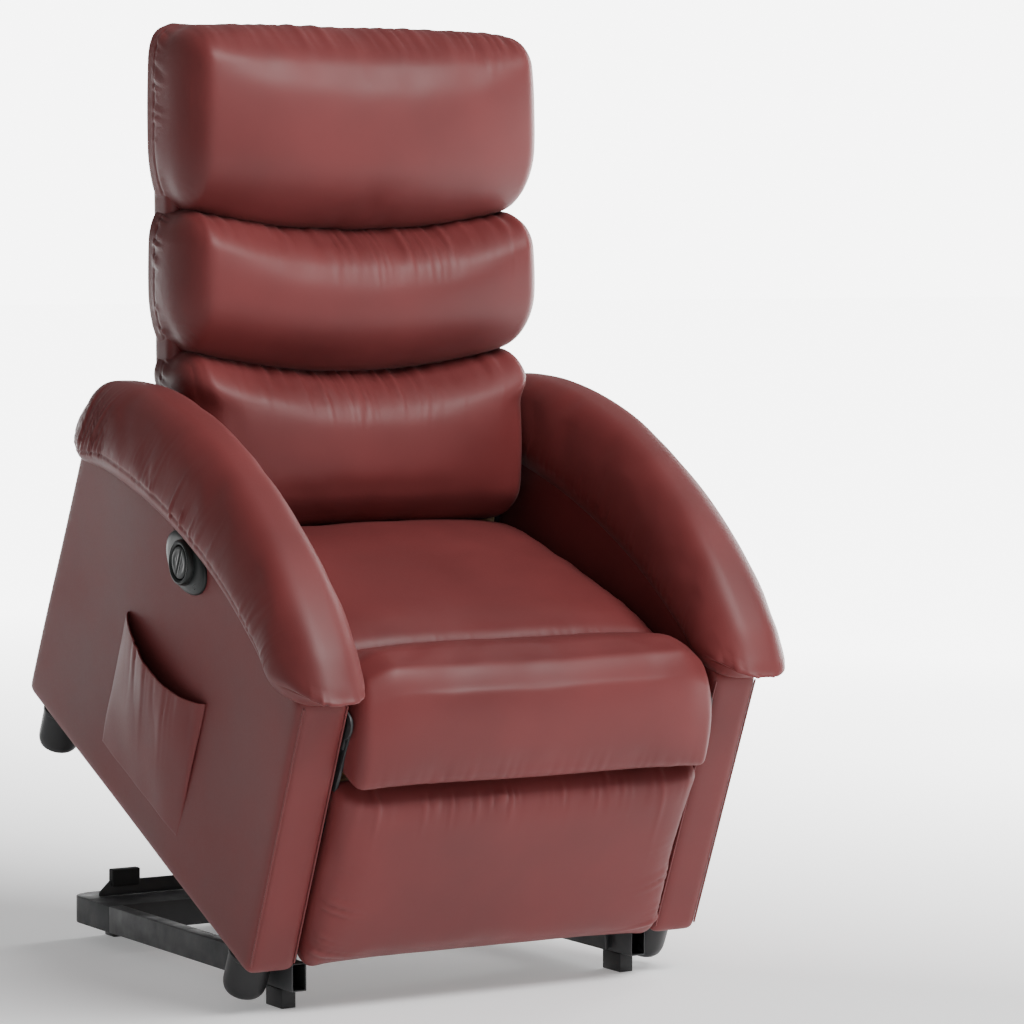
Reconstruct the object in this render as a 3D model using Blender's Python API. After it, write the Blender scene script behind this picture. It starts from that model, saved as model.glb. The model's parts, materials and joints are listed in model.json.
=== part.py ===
"""Lift recliner chair, shown raised: a steel lift base carries the upholstered chair on two pairs of links.

Metres, +Z up. The sitter faces -Y, so +X is the sitter's left. Three frames are used, all turned about X only:
base    the floor frame, with y from the side panels' front bottom edge, as the chair stands raised
chair   y back and z up from that edge, along the tilted side panels
back    y and z from the recline axis. The backrest stands upright while the chair is raised
"""

import math

import bmesh
import bpy
from mathutils import Matrix, Vector

# ---- driving dimensions -------------------------------------------------------------------------
ORIGIN_SHIFT_Y = -0.2463       # puts the origin under the middle of the whole chair
GAP = 0.0003                   # between pieces that touch
LIFT_TILT = math.radians(25.0) # forward tilt of the raised chair
RAISED_Z = 0.054               # height of the side panels' front bottom edge, raised

PANEL_OUTER_X = 0.350
PANEL_INNER_X = 0.2775
PANEL_DEPTH = 0.748
PANEL_HEIGHT = 0.402           # at its front and rear edges
PANEL_CROWN = 0.0605           # rise of the curved top edge
PANEL_LEAN = 0.016             # how far the upright edges lean in at the top
PAD_OUTER_X = 0.385
PAD_INNER_X = 0.262
SEAT_HALF = 0.2680
FOOT_HEIGHT = 0.064
FOOT_RADIUS = 0.030

RAIL_OUTER_X = 0.276
RAIL_WIDTH = 0.022
RAIL_HEIGHT = 0.038
RAIL_BOTTOM_Z = 0.027
RAIL_FRONT_Y = 0.0135
BEAM_FRONT_Y = 0.565           # where the straight rails meet the rear beam
BASE_REAR_Y = 0.700
CORNER_RADIUS = 0.035
RISER_Y = (0.6480, 0.6530)      # plate along the rear beam that the stops sit on
RISER_TOP = 0.0870
STOP_X = (0.188, 0.232)
STOP_TOP = 0.1040
TUBE_WALL = 0.002
BEAM_WALL = 0.003

# lift linkage, in the base frame (y, z) and the chair frame (y, z)
FRONT_PIVOT = (0.0933, 0.1274)
REAR_PIVOT = (0.1330, 0.1331)
FRONT_CHAIR_PIVOT = (0.200, 0.050)
REAR_CHAIR_PIVOT = (0.620, 0.050)
PIN_RADIUS = 0.006
RUNNING_GAP = 0.0003
OPEN_GAP = 0.0007              # extra room at the rear link's chair pivot
UPRIGHT_X = (0.2420, 0.2470)
FRONT_LINK_X = (0.2490, 0.2540)
REAR_LINK_X = (0.2350, 0.2400)
CHASSIS_X = (0.2560, 0.2745)
CHASSIS_Z = (0.026, 0.074)
TORQUE_RADIUS = 0.0125

# lift actuator, in the base frame
MOTOR_PIVOT = (0.600, 0.090)
CLEVIS_X = (0.0165, 0.0215)
CRANK_RADIUS = 0.110
CRANK_ANGLE = math.radians(100.4)
CRANK_SLACK = 0.0044           # play around the rod's pin: this end of the linkage is left open

FOOTREST_PIVOT = (0.025, 0.364)   # chair frame
FOOTREST_ARM_X = (0.2695, 0.2735)
FOOTREST_BRACKET_X = (0.2742, 0.2772)
FOOTREST_TOP = 0.280
FOOTREST_BOTTOM = 0.005
RECLINE_PIVOT = (0.620, 0.330)    # chair frame
BACK_HALF = 0.272
SWITCH_CENTRE = (0.370, 0.415)    # chair frame, on the right-hand side panel
SWITCH_TRAVEL = 0.002

SIDES = (("left", 1), ("right", -1))

# colour, roughness, metallic
LEATHER = ("leather", (0.165, 0.035, 0.034), 0.42, 0.0)
STEEL = ("black_steel", (0.030, 0.031, 0.032), 0.45, 0.7)
ZINC = ("zinc_steel", (0.45, 0.45, 0.46), 0.35, 1.0)
PLASTIC = ("black_plastic", (0.020, 0.021, 0.021), 0.40, 0.0)
RUBBER = ("rubber", (0.015, 0.015, 0.015), 0.75, 0.0)
WOOD = ("plywood", (0.48, 0.33, 0.18), 0.70, 0.0)


# ---- small tools --------------------------------------------------------------------------------
def clear_scene():
    for obj in list(bpy.data.objects):
        bpy.data.objects.remove(obj, do_unlink=True)


def material(finish):
    name, colour, roughness, metallic = finish
    mat = bpy.data.materials.get(name)
    if mat is None:
        mat = bpy.data.materials.new(name)
        mat.use_nodes = True
        shader = mat.node_tree.nodes["Principled BSDF"]
        shader.inputs["Base Color"].default_value = (*colour, 1.0)
        shader.inputs["Roughness"].default_value = roughness
        shader.inputs["Metallic"].default_value = metallic
    return mat


def empty(name, parent=None, location=(0, 0, 0), turn_x=0.0):
    obj = bpy.data.objects.new(name, None)
    bpy.context.collection.objects.link(obj)
    obj.parent = parent
    obj.location = location
    obj.rotation_euler = (turn_x, 0, 0)
    return obj


def finish_mesh(name, bm, parent, finish):
    bmesh.ops.recalc_face_normals(bm, faces=bm.faces)
    mesh = bpy.data.meshes.new(name)
    bm.to_mesh(mesh)
    bm.free()
    mesh.shade_smooth()
    mesh.set_sharp_from_angle(angle=math.radians(35))
    obj = bpy.data.objects.new(name, mesh)
    bpy.context.collection.objects.link(obj)
    obj.parent = parent
    if finish:
        mesh.materials.append(material(finish))
    return obj


def round_edges(obj, width, segments=2, angle=40):
    bevel = obj.modifiers.new("Edge", "BEVEL")
    bevel.width = width
    bevel.segments = segments
    bevel.limit_method = "ANGLE"
    bevel.angle_limit = math.radians(angle)
    return obj


def box(name, parent, finish, x, y, z):
    """A box between two values on each axis."""
    bm = bmesh.new()
    size = Vector((x[1] - x[0], y[1] - y[0], z[1] - z[0]))
    middle = Vector((x[0] + x[1], y[0] + y[1], z[0] + z[1])) / 2
    bmesh.ops.create_cube(bm, size=1.0, matrix=Matrix.Translation(middle) @ Matrix.Diagonal(size).to_4x4())
    return finish_mesh(name, bm, parent, finish)


def side_box(name, parent, finish, side, x, y, z):
    """A box whose x range is given as distances from the middle, on one side."""
    ends = sorted((side * x[0], side * x[1]))
    return box(name, parent, finish, ends, y, z)


def plate(name, parent, finish, outline, x):
    """An outline of (y, z) points, extruded across x."""
    bm = bmesh.new()
    face = bm.faces.new([bm.verts.new((x[0], y, z)) for y, z in outline])
    grown = bmesh.ops.extrude_face_region(bm, geom=[face])
    moved = [v for v in grown["geom"] if isinstance(v, bmesh.types.BMVert)]
    bmesh.ops.translate(bm, verts=moved, vec=(x[1] - x[0], 0, 0))
    return finish_mesh(name, bm, parent, finish)


def loft(name, parent, finish, outline, middle, stations):
    """An outline of (y, z) points carried across x, shrunk towards a middle by each station's scale."""
    bm = bmesh.new()
    rings = []
    for x, scale in stations:
        rings.append([bm.verts.new((x, middle[0] + (y - middle[0]) * scale, middle[1] + (z - middle[1]) * scale))
                      for y, z in outline])
    for near, far in zip(rings, rings[1:]):
        for i in range(len(outline)):
            j = (i + 1) % len(outline)
            bm.faces.new((near[i], near[j], far[j], far[i]))
    bm.faces.new(rings[0])
    bm.faces.new(rings[-1])
    return finish_mesh(name, bm, parent, finish)


def side_plate(name, parent, finish, side, outline, x):
    return plate(name, parent, finish, outline, sorted((side * x[0], side * x[1])))


def rod(name, parent, finish, start, end, radius, segments=16):
    """A cylinder between two points."""
    start, end = Vector(start), Vector(end)
    along = end - start
    turn = Vector((0, 0, 1)).rotation_difference(along).to_matrix().to_4x4()
    place = Matrix.Translation((start + end) / 2) @ turn
    bm = bmesh.new()
    bmesh.ops.create_cone(bm, cap_ends=True, segments=segments, radius1=radius, radius2=radius,
                          depth=along.length, matrix=place)
    return finish_mesh(name, bm, parent, finish)


def cross_rod(name, parent, finish, centre, x, radius, segments=16):
    """A cylinder across the chair, on a (y, z) centre."""
    return rod(name, parent, finish, (x[0], *centre), (x[1], *centre), radius, segments)


def boolean(obj, tool, operation):
    tool.hide_render = True
    tool.display_type = "WIRE"
    step = obj.modifiers.new(operation.title(), "BOOLEAN")
    step.operation = operation
    step.solver = "EXACT"
    step.object = tool
    return obj


def cut(obj, tool):
    return boolean(obj, tool, "DIFFERENCE")


def weld(obj, tool):
    return boolean(obj, tool, "UNION")


def arc(centre, radius, start, end, steps):
    """Points on a circle, in degrees from +y towards +z."""
    turns = [math.radians(start + (end - start) * i / steps) for i in range(steps + 1)]
    return [(centre[0] + radius * math.cos(t), centre[1] + radius * math.sin(t)) for t in turns]


def arc_through(a, b, c, steps):
    """Points on the circle through three points, from a by way of b to c."""
    ax, ay, bx, by, cx, cy = *a, *b, *c
    d = 2 * (ax * (by - cy) + bx * (cy - ay) + cx * (ay - by))
    sa, sb, sc = ax * ax + ay * ay, bx * bx + by * by, cx * cx + cy * cy
    centre = Vector(((sa * (by - cy) + sb * (cy - ay) + sc * (ay - by)) / d,
                     (sa * (cx - bx) + sb * (ax - cx) + sc * (bx - ax)) / d))
    start, end = Vector(a) - centre, Vector(c) - centre
    total = start.angle_signed(end)
    points = []
    for i in range(steps + 1):
        t = -total * i / steps
        turned = Vector((start.x * math.cos(t) - start.y * math.sin(t),
                         start.x * math.sin(t) + start.y * math.cos(t)))
        points.append(tuple(centre + turned))
    return points


def link_outline(a, b, radius, steps=6):
    """A bar with round ends about two (y, z) points."""
    along = math.degrees(math.atan2(b[1] - a[1], b[0] - a[0]))
    return arc(b, radius, along - 90, along + 90, steps) + arc(a, radius, along + 90, along + 270, steps)


def lifted(point):
    """A chair-frame (y, z) point in the base frame, chair raised."""
    y, z = point
    return (y * math.cos(LIFT_TILT) - z * math.sin(LIFT_TILT),
            RAISED_Z + y * math.sin(LIFT_TILT) + z * math.cos(LIFT_TILT))


def hole(obj, parent, side, centre, radius, x, segments=16):
    """A round hole across x through a piece, on a (y, z) centre."""
    ends = (side * (x[0] - 0.002), side * (x[1] + 0.002))
    cutter = cross_rod(f"cutter_{obj.name}", parent, None, centre, ends, radius, segments)
    return cut(obj, cutter)


# ---- base ---------------------------------------------------------------------------------------
def base_rails(base):
    """Straight tubes, open at the front."""
    inner_x = RAIL_OUTER_X - RAIL_WIDTH
    top = RAIL_BOTTOM_Z + RAIL_HEIGHT
    for label, side in SIDES:
        rail = side_box(f"base_rail_{label}", base, STEEL, side, (inner_x, RAIL_OUTER_X),
                        (RAIL_FRONT_Y, BEAM_FRONT_Y - GAP), (RAIL_BOTTOM_Z, top))
        bore = side_box(f"cutter_rail_{label}", base, None, side,
                        (inner_x + TUBE_WALL, RAIL_OUTER_X - TUBE_WALL),
                        (RAIL_FRONT_Y - 0.01, BEAM_FRONT_Y + 0.01),
                        (RAIL_BOTTOM_Z + TUBE_WALL, top - TUBE_WALL))
        cut(rail, bore)


def beam_plan(inset, steps=6):
    """The rear beam's outline from above, with two round corners at the rear, as (x, y) points."""
    reach = RAIL_OUTER_X - inset
    rear = BASE_REAR_Y - inset
    radius = CORNER_RADIUS - inset
    front = BEAM_FRONT_Y + inset
    left = arc((reach - radius, rear - radius), radius, 0, 90, steps)
    right = [(-x, y) for x, y in reversed(left)]
    return [(reach, front)] + left + right + [(-reach, front)]


def raised_plan(name, parent, finish, outline, z):
    """An outline of (x, y) points, extruded upwards."""
    bm = bmesh.new()
    face = bm.faces.new([bm.verts.new((x, y, z[0])) for x, y in outline])
    grown = bmesh.ops.extrude_face_region(bm, geom=[face])
    moved = [v for v in grown["geom"] if isinstance(v, bmesh.types.BMVert)]
    bmesh.ops.translate(bm, verts=moved, vec=(0, 0, z[1] - z[0]))
    return finish_mesh(name, bm, parent, finish)


def base_rear_beam(base):
    """Pressed steel beam across the rear, open underneath, with the motor's clevis welded on top."""
    top = RAIL_BOTTOM_Z + RAIL_HEIGHT
    beam = raised_plan("base_rear_beam", base, STEEL, beam_plan(0), (RAIL_BOTTOM_Z, top))
    hollow = raised_plan("cutter_beam", base, None, beam_plan(BEAM_WALL), (RAIL_BOTTOM_Z - 0.01, top - BEAM_WALL))
    cut(beam, hollow)
    for label, side in SIDES:
        ear = side_plate(f"cutter_clevis_{label}", base, None, side,
                         [(MOTOR_PIVOT[0] + 0.020, top - 0.001)] + arc(MOTOR_PIVOT, 0.014, -20, 200, 8)
                         + [(MOTOR_PIVOT[0] - 0.020, top - 0.001)], CLEVIS_X)
        hole(ear, base, side, MOTOR_PIVOT, 0.0053, CLEVIS_X)
        weld(beam, ear)


def base_cross_tube(base):
    """Square bar that ties the two uprights together, below the links."""
    reach = UPRIGHT_X[0] - GAP
    box("base_cross_tube", base, STEEL, (-reach, reach), (0.150, 0.172), (0.058, 0.080))


def base_uprights(base):
    """Pivot plates for both links, each on a foot welded to its rail."""
    top = arc(REAR_PIVOT, 0.024, 20, 110, 5) + arc(FRONT_PIVOT, 0.020, 110, 190, 4)
    outline = [(0.062, 0.030), (0.176, 0.030), (0.176, 0.085)] + top + [(0.062, 0.085)]
    inner_x = RAIL_OUTER_X - RAIL_WIDTH
    for label, side in SIDES:
        upright = side_plate(f"base_upright_{label}", base, STEEL, side, outline, UPRIGHT_X)
        foot = side_box(f"cutter_foot_{label}", base, None, side, (UPRIGHT_X[0] + 0.002, inner_x - GAP),
                        (0.064, 0.174), (0.032, 0.060))
        weld(upright, foot)
        hole(upright, base, side, FRONT_PIVOT, PIN_RADIUS + RUNNING_GAP, UPRIGHT_X)
        hole(upright, base, side, REAR_PIVOT, TORQUE_RADIUS + RUNNING_GAP, UPRIGHT_X, 20)


def base_feet(base):
    """Four blocks that the base stands on."""
    top = RAIL_BOTTOM_Z - GAP
    for label, side in SIDES:
        front_block = side_box(f"base_foot_front_{label}", base, PLASTIC, side,
                               (RAIL_OUTER_X - RAIL_WIDTH, RAIL_OUTER_X), (0.043, 0.088), (0, top))
        rear_block = side_box(f"base_foot_rear_{label}", base, PLASTIC, side,
                              (0.178, 0.218), (BASE_REAR_Y - 0.030, BASE_REAR_Y), (0, top))
        round_edges(front_block, 0.001, 1)
        round_edges(rear_block, 0.001, 1)


def base_riser(base):
    """Plate standing along the beam's rear edge, and the two rubber stops pushed over it, for the lowered chair."""
    low = RAIL_BOTTOM_Z + RAIL_HEIGHT + GAP
    outline = [(-0.250, RISER_Y[0]), (0.250, RISER_Y[0]), (0.250, RISER_Y[1]), (-0.250, RISER_Y[1])]
    riser = raised_plan("base_riser", base, STEEL, outline, (low, RISER_TOP))
    for label, side in SIDES:
        corner = [(side * 0.232, RISER_TOP + 0.001), (side * 0.252, RISER_TOP + 0.001),
                  (side * 0.252, low + 0.004)]
        bm = bmesh.new()
        face = bm.faces.new([bm.verts.new((x, RISER_Y[0] - 0.01, z)) for x, z in corner])
        grown = bmesh.ops.extrude_face_region(bm, geom=[face])
        moved = [v for v in grown["geom"] if isinstance(v, bmesh.types.BMVert)]
        bmesh.ops.translate(bm, verts=moved, vec=(0, 0.03, 0))
        cut(riser, finish_mesh(f"cutter_riser_{label}", bm, base, None))
        block = side_box(f"stop_block_{label}", base, RUBBER, side, STOP_X,
                         (RISER_Y[0] - 0.006, RISER_Y[1] + 0.003), (RISER_TOP - 0.008, STOP_TOP))
        slot = side_box(f"cutter_stop_{label}", base, None, side, (STOP_X[0] - 0.01, STOP_X[1] + 0.01),
                        (RISER_Y[0] - GAP, RISER_Y[1] + GAP), (RISER_TOP - 0.020, RISER_TOP + GAP))
        round_edges(block, 0.0012, 1)
        cut(block, slot)


# ---- lift links ---------------------------------------------------------------------------------
def front_links(front_axis):
    """Short links with their two rivets, from the base uprights to the chassis."""
    far = Vector(lifted(FRONT_CHAIR_PIVOT)) - Vector(FRONT_PIVOT)
    for label, side in SIDES:
        link = side_plate(f"front_link_{label}", front_axis, ZINC, side,
                          link_outline((0, 0), far, 0.014), FRONT_LINK_X)
        base_pin = cross_rod(f"cutter_base_pin_{label}", front_axis, None, (0, 0),
                             (side * (UPRIGHT_X[0] - 0.0015), side * (FRONT_LINK_X[1] - 0.001)), PIN_RADIUS)
        chair_pin = cross_rod(f"cutter_chair_pin_{label}", front_axis, None, tuple(far),
                              (side * (FRONT_LINK_X[0] + 0.001), side * (CHASSIS_X[0] + 0.006)), PIN_RADIUS)
        weld(link, base_pin)
        weld(link, chair_pin)


def rear_links(rear_axis):
    """Long links, turning with the torque tube that the actuator's crank is welded to."""
    far = Vector(lifted(REAR_CHAIR_PIVOT)) - Vector(REAR_PIVOT)
    for label, side in SIDES:
        link = side_plate(f"rear_link_{label}", rear_axis, ZINC, side,
                          link_outline((0, 0), far, 0.017), REAR_LINK_X)
        hole(link, rear_axis, side, (0, 0), TORQUE_RADIUS + GAP, REAR_LINK_X, 20)
        pin = cross_rod(f"cutter_rear_pin_{label}", rear_axis, None, tuple(far),
                        (side * (REAR_LINK_X[0] + 0.001), side * (CHASSIS_X[0] + 0.006)), PIN_RADIUS)
        weld(link, pin)


def torque_tube(rear_axis):
    reach = UPRIGHT_X[1]
    tube = cross_rod("torque_tube", rear_axis, STEEL, (0, 0), (-reach, reach), TORQUE_RADIUS, 20)
    tip = (CRANK_RADIUS * math.cos(CRANK_ANGLE), CRANK_RADIUS * math.sin(CRANK_ANGLE))
    for label, side in SIDES:
        crank = side_plate(f"cutter_crank_{label}", rear_axis, None, side,
                           link_outline((0, 0), tip, 0.0165), (0.011, 0.016))
        hole(crank, rear_axis, side, tip, 0.005 + CRANK_SLACK, (0.011, 0.016))
        weld(tube, crank)
    bore = cross_rod("cutter_torque_bore", rear_axis, None, (0, 0), (-0.3, 0.3), TORQUE_RADIUS - 0.0025, 20)
    cut(tube, bore)


# ---- lift actuator ------------------------------------------------------------------------------
def lift_actuator(actuator_axis, reach):
    """Housing and rod along +y of an axis that points from the motor's clevis to the crank."""
    body = rod("actuator_housing", actuator_axis, STEEL, (0, 0.018, 0), (0, reach - 0.105, 0), 0.0175, 16)
    eye = box("cutter_housing_eye", actuator_axis, None, (-0.0155, 0.0155), (-0.011, 0.030), (-0.011, 0.011))
    gearbox = box("cutter_gearbox", actuator_axis, None, (-0.024, 0.024), (0.022, 0.092), (-0.075, 0.024))
    motor = rod("cutter_motor", actuator_axis, None, (0, 0.030, -0.052), (0, 0.190, -0.052), 0.021, 16)
    round_edges(gearbox, 0.004, 1)
    for piece in (eye, gearbox, motor):
        weld(body, piece)
    hole(body, actuator_axis, 1, (0, 0), 0.0055, (-0.030, 0.030))
    bore = rod("cutter_housing_bore", actuator_axis, None, (0, 0.100, 0), (0, reach, 0), 0.0115, 16)
    cut(body, bore)
    cross_rod("actuator_base_pin", actuator_axis, ZINC, (0, 0), (-0.0245, 0.0245), 0.0050, 12)


def actuator_rod(rod_axis, reach):
    shaft = rod("actuator_rod", rod_axis, ZINC, (0, 0.165, 0), (0, reach - 0.012, 0), 0.0100, 16)
    eye = cross_rod("cutter_rod_eye", rod_axis, None, (reach, 0), (-0.0095, 0.0095), 0.0150, 16)
    pin = cross_rod("cutter_rod_pin", rod_axis, None, (reach, 0), (-0.0200, 0.0200), 0.0050, 16)
    weld(shaft, eye)
    weld(shaft, pin)


# ---- chassis and seat frame ---------------------------------------------------------------------
def chassis_rails(chair):
    """Channels bolted inside the side panels, open outwards, with the links' pivot holes in their webs."""
    web = 0.003
    y = (0.062, 0.690)
    for label, side in SIDES:
        rail = side_box(f"chassis_rail_{label}", chair, STEEL, side, CHASSIS_X, y, CHASSIS_Z)
        hollow = side_box(f"cutter_channel_{label}", chair, None, side, (CHASSIS_X[0] + web, CHASSIS_X[1] + 0.01),
                          (y[0] - 0.01, y[1] + 0.01), (CHASSIS_Z[0] + web, CHASSIS_Z[1] - web))
        cut(rail, hollow)
        reach = (CHASSIS_X[0], CHASSIS_X[0] + web)
        hole(rail, chair, side, FRONT_CHAIR_PIVOT, PIN_RADIUS + RUNNING_GAP, reach)
        hole(rail, chair, side, REAR_CHAIR_PIVOT, PIN_RADIUS + OPEN_GAP, reach)


def chassis_crossbar(chair):
    reach = CHASSIS_X[0] - GAP
    bar = box("chassis_crossbar", chair, STEEL, (-reach, reach), (0.647, 0.675), (0.0395, 0.0675))
    round_edges(bar, 0.002, 1)


def seat_rails(chair):
    """Wooden rails across the seat, which the springs are stapled to."""
    front = box("seat_rail_front", chair, WOOD, (-0.265, 0.265), (0.074, 0.100), (0.225, 0.274))
    rear = box("seat_rail_rear", chair, WOOD, (-0.255, 0.255), (0.560, 0.586), (0.215, 0.264))
    round_edges(front, 0.002, 1)
    round_edges(rear, 0.002, 1)


def seat_springs(chair):
    """Three flat zigzag springs, laid from the front rail to the rear rail."""
    waves = 9
    width = 0.050
    start, end = (0.078, 0.2765), (0.582, 0.2665)
    radius = 0.0018
    for number in range(3):
        curve = bpy.data.curves.new(f"seat_spring_{number + 1}", "CURVE")
        curve.dimensions = "3D"
        curve.bevel_depth = radius
        curve.bevel_resolution = 1
        curve.use_fill_caps = True
        spline = curve.splines.new("POLY")
        spline.points.add(waves * 4)
        for i, point in enumerate(spline.points):
            along = i / (waves * 4)
            across = width / 2 * math.sin(math.pi / 2 * i + math.pi / 4) * math.sqrt(2)
            y = start[0] + (end[0] - start[0]) * along
            z = start[1] + (end[1] - start[1]) * along
            point.co = (0.150 * (number - 1) + max(-width / 2, min(width / 2, across)), y, z, 1)
        obj = bpy.data.objects.new(curve.name, curve)
        bpy.context.collection.objects.link(obj)
        obj.parent = chair
        curve.materials.append(material(ZINC))


# ---- upholstered chair --------------------------------------------------------------------------
def panel_top(steps=12):
    """The side panel's curved top edge, from front to rear."""
    front = (PANEL_LEAN, PANEL_HEIGHT)
    rear = (PANEL_DEPTH - PANEL_LEAN, PANEL_HEIGHT)
    middle = (PANEL_DEPTH / 2, PANEL_HEIGHT + PANEL_CROWN)
    return arc_through(front, middle, rear, steps)


def side_panels(chair):
    outline = [(PANEL_DEPTH, 0), (0, 0)] + panel_top()
    for label, side in SIDES:
        panel = side_plate(f"side_panel_{label}", chair, LEATHER, side, outline, (PANEL_INNER_X, PANEL_OUTER_X))
        round_edges(panel, 0.008, 1, 60)


def arm_pads(chair):
    """Crowned pads that overhang the panels on both sides."""
    lower = [(y, z + GAP) for y, z in panel_top()]
    upper = arc_through((-0.026, 0.450), (0.400, 0.580), (0.738, 0.500), 14)
    outline = lower + [(0.740, 0.425)] + list(reversed(upper)) + [(-0.020, 0.412)]
    for label, side in SIDES:
        pad = side_plate(f"arm_pad_{label}", chair, LEATHER, side, outline, (PAD_INNER_X, PAD_OUTER_X))
        bevel = round_edges(pad, 0.022, 3, 60).modifiers["Edge"]
        bevel.use_clamp_overlap = True


def seat(chair):
    """The seat cushion, and the front roll that the footrest hangs under."""
    top = arc_through((0.136, 0.408), (0.330, 0.402), (0.560, 0.352), 8)
    outline = [(0.560, 0.282), (0.136, 0.282)] + top
    cushion = plate("seat_cushion", chair, LEATHER, outline, (-SEAT_HALF, SEAT_HALF))
    round_edges(cushion, 0.012, 2, 60)
    roll_centre = (0.035, 0.365)
    shape = arc(roll_centre, 0.0795, 270, 90, 12) + [(0.112, 0.434), (0.1355, 0.412), (0.1355, 0.2855)]
    ends = ((SEAT_HALF, 0.62), (0.264, 0.76), (0.252, 0.89), (0.232, 0.97), (0.205, 1.0))
    stations = [(-x, s) for x, s in ends] + [(x, s) for x, s in reversed(ends)]
    loft("seat_front_roll", chair, LEATHER, shape, (0.060, 0.325), stations)


def rear_panel(chair):
    """Upholstered board that closes the chair's body behind, with the power inlet in it."""
    reach = PANEL_INNER_X - GAP
    panel = box("rear_panel", chair, LEATHER, (-reach, reach), (0.700, 0.722), (0.010, 0.340))
    round_edges(panel, 0.004, 1)
    box("control_box", chair, PLASTIC, (-0.205, -0.085), (0.652, 0.700 - GAP), (0.150, 0.215))
    inlet = box("power_inlet", chair, PLASTIC, (-0.164, -0.126), (0.722 + GAP, 0.733), (0.070, 0.098))
    round_edges(inlet, 0.0015, 1)
    socket = box("cutter_inlet", chair, None, (-0.158, -0.132), (0.7245, 0.740), (0.0745, 0.0935))
    cut(inlet, socket)


def feet(chair):
    """Round feet screwed under the side panels, narrower at the floor."""
    x = (PANEL_OUTER_X + PANEL_INNER_X) / 2
    for place, y in (("front", 0.060), ("rear", 0.690)):
        for label, side in SIDES:
            bm = bmesh.new()
            rings = []
            profile = [(FOOT_RADIUS, -GAP), (FOOT_RADIUS, -0.046), (0.027, -0.058), (0.020, -FOOT_HEIGHT)]
            for radius, z in profile:
                rings.append([bm.verts.new((side * x + radius * math.cos(math.tau * i / 20),
                                            y + radius * math.sin(math.tau * i / 20), z)) for i in range(20)])
            for upper, lower in zip(rings, rings[1:]):
                for i in range(20):
                    j = (i + 1) % 20
                    bm.faces.new((upper[i], upper[j], lower[j], lower[i]))
            bm.faces.new(rings[0])
            bm.faces.new(rings[-1])
            finish_mesh(f"foot_{place}_{label}", bm, chair, PLASTIC)


def storage_pocket(chair):
    """Open-topped pocket on the right-hand side panel: a front sheet held off the panel by two gussets."""
    y = (0.247, 0.495)
    low, high = 0.066, 0.270
    wall = 0.0022
    face_x = -PANEL_OUTER_X - GAP
    bottom_x, top_x = face_x - 0.0050, face_x - 0.0235
    bm = bmesh.new()
    outline = [(face_x, low), (bottom_x, low), (top_x, high), (face_x, high)]
    face = bm.faces.new([bm.verts.new((x, y[0], z)) for x, z in outline])
    grown = bmesh.ops.extrude_face_region(bm, geom=[face])
    moved = [v for v in grown["geom"] if isinstance(v, bmesh.types.BMVert)]
    bmesh.ops.translate(bm, verts=moved, vec=(0, y[1] - y[0], 0))
    pocket = finish_mesh("storage_pocket", bm, chair, LEATHER)
    bm = bmesh.new()
    outline = [(face_x + 0.01, low + 0.006), (bottom_x + wall, low + 0.006),
               (top_x + wall, high), (top_x + wall, high + 0.01), (face_x + 0.01, high + 0.01)]
    face = bm.faces.new([bm.verts.new((x, y[0] + wall, z)) for x, z in outline])
    grown = bmesh.ops.extrude_face_region(bm, geom=[face])
    moved = [v for v in grown["geom"] if isinstance(v, bmesh.types.BMVert)]
    bmesh.ops.translate(bm, verts=moved, vec=(0, y[1] - y[0] - 2 * wall, 0))
    cut(pocket, finish_mesh("cutter_pocket", bm, chair, None))


# ---- hand switch --------------------------------------------------------------------------------
def switch_bezel(chair):
    """Oval plate with a raised round collar around the two buttons."""
    face_x = -PANEL_OUTER_X - GAP
    oval = [(SWITCH_CENTRE[0] + 0.060 * math.cos(math.tau * i / 28),
             SWITCH_CENTRE[1] + 0.0375 * math.sin(math.tau * i / 28)) for i in range(28)]
    bezel = plate("switch_bezel", chair, PLASTIC, oval, (face_x - 0.0055, face_x))
    collar = cross_rod("cutter_collar", chair, None, SWITCH_CENTRE, (face_x - 0.0150, face_x - 0.0020), 0.0300, 24)
    well = cross_rod("cutter_well", chair, None, SWITCH_CENTRE, (face_x - 0.0200, face_x - 0.0025), 0.0225, 24)
    weld(bezel, collar)
    cut(bezel, well)


def switch_button(name, parent, facing):
    """A half-round button in the collar. Facing is 1 for the rear half and -1 for the front half."""
    radius = 0.0219
    half_gap = 0.0007
    edge = math.degrees(math.acos(half_gap / radius))
    shape = arc((0, 0), radius, -edge, edge, 12)
    shape = [(facing * y, z) for y, z in shape]
    face_x = -PANEL_OUTER_X - GAP
    button = plate(name, parent, PLASTIC, shape, (face_x - 0.0140, face_x - 0.0025 - SWITCH_TRAVEL - 0.0005))
    return round_edges(button, 0.0012, 2, 50)


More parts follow.
